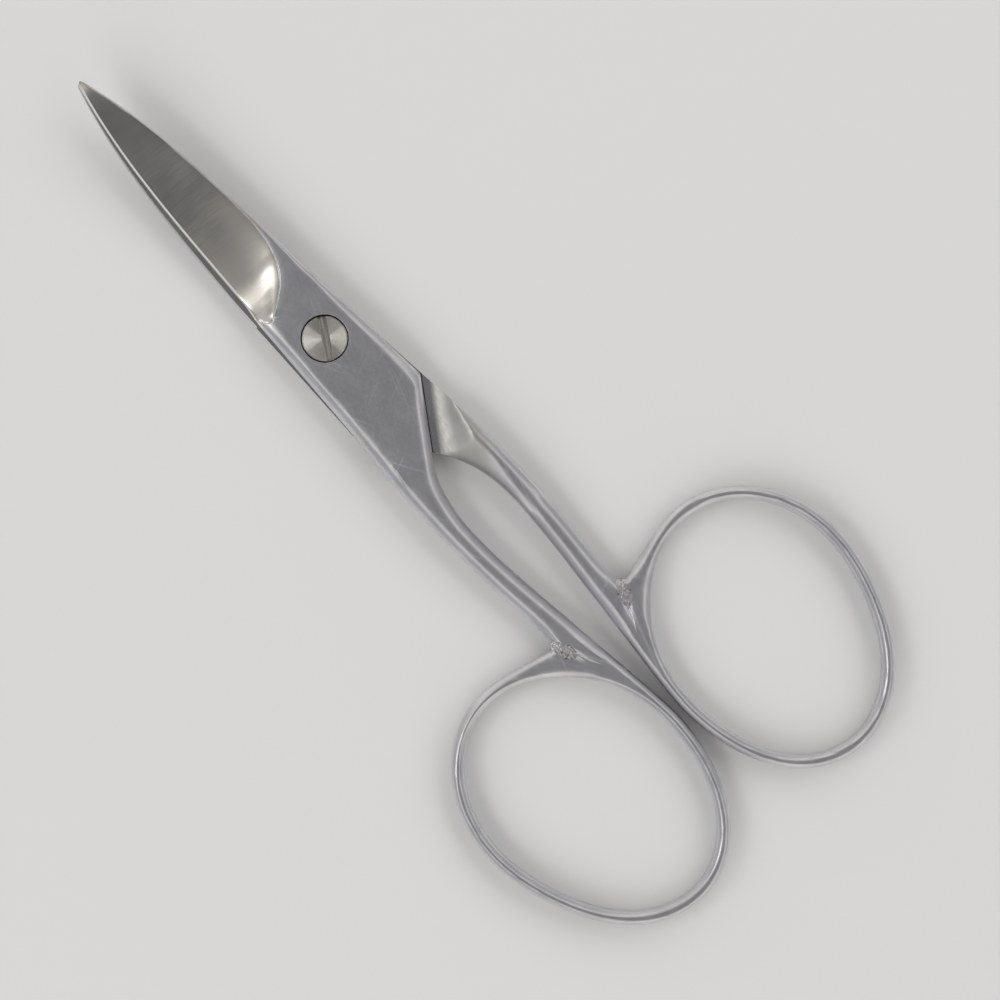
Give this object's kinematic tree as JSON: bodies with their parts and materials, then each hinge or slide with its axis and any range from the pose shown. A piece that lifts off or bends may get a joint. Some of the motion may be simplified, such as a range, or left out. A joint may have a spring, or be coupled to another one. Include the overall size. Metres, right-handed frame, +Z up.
{
  "type": "nail scissors",
  "caption": "Curved nail scissors with slim forged shanks, egg-shaped finger bows closed by a weld, and a slotted pivot screw.",
  "frame": {"origin": "on the pivot axis, in the plane that the closed scissors rest on, at the flush end of the screw", "axes": "+X towards the tips, +Y towards the bow of the upper half, +Z up, out of the screw's head"},
  "size_m": [0.0908, 0.043, 0.0051],
  "materials": {
    "forged_steel": "satin stainless steel, polished on the ground faces",
    "weld_steel": "rough, pitted weld",
    "screw_steel": "fine turned finish"
  },
  "bodies": {
    "lower": {"lower_half": "forged_steel", "lower_bow_weld": "weld_steel", "pivot_screw": "screw_steel"},
    "upper": {"upper_half": "forged_steel", "upper_bow_weld": "weld_steel"}
  },
  "joints": [
    {"name": "pivot", "type": "hinge", "parent": "lower", "child": "upper", "pos_m": [0, 0, 0.0015], "axis": [0, 0, -1], "range_deg": [-0.7, 130]}
  ]
}
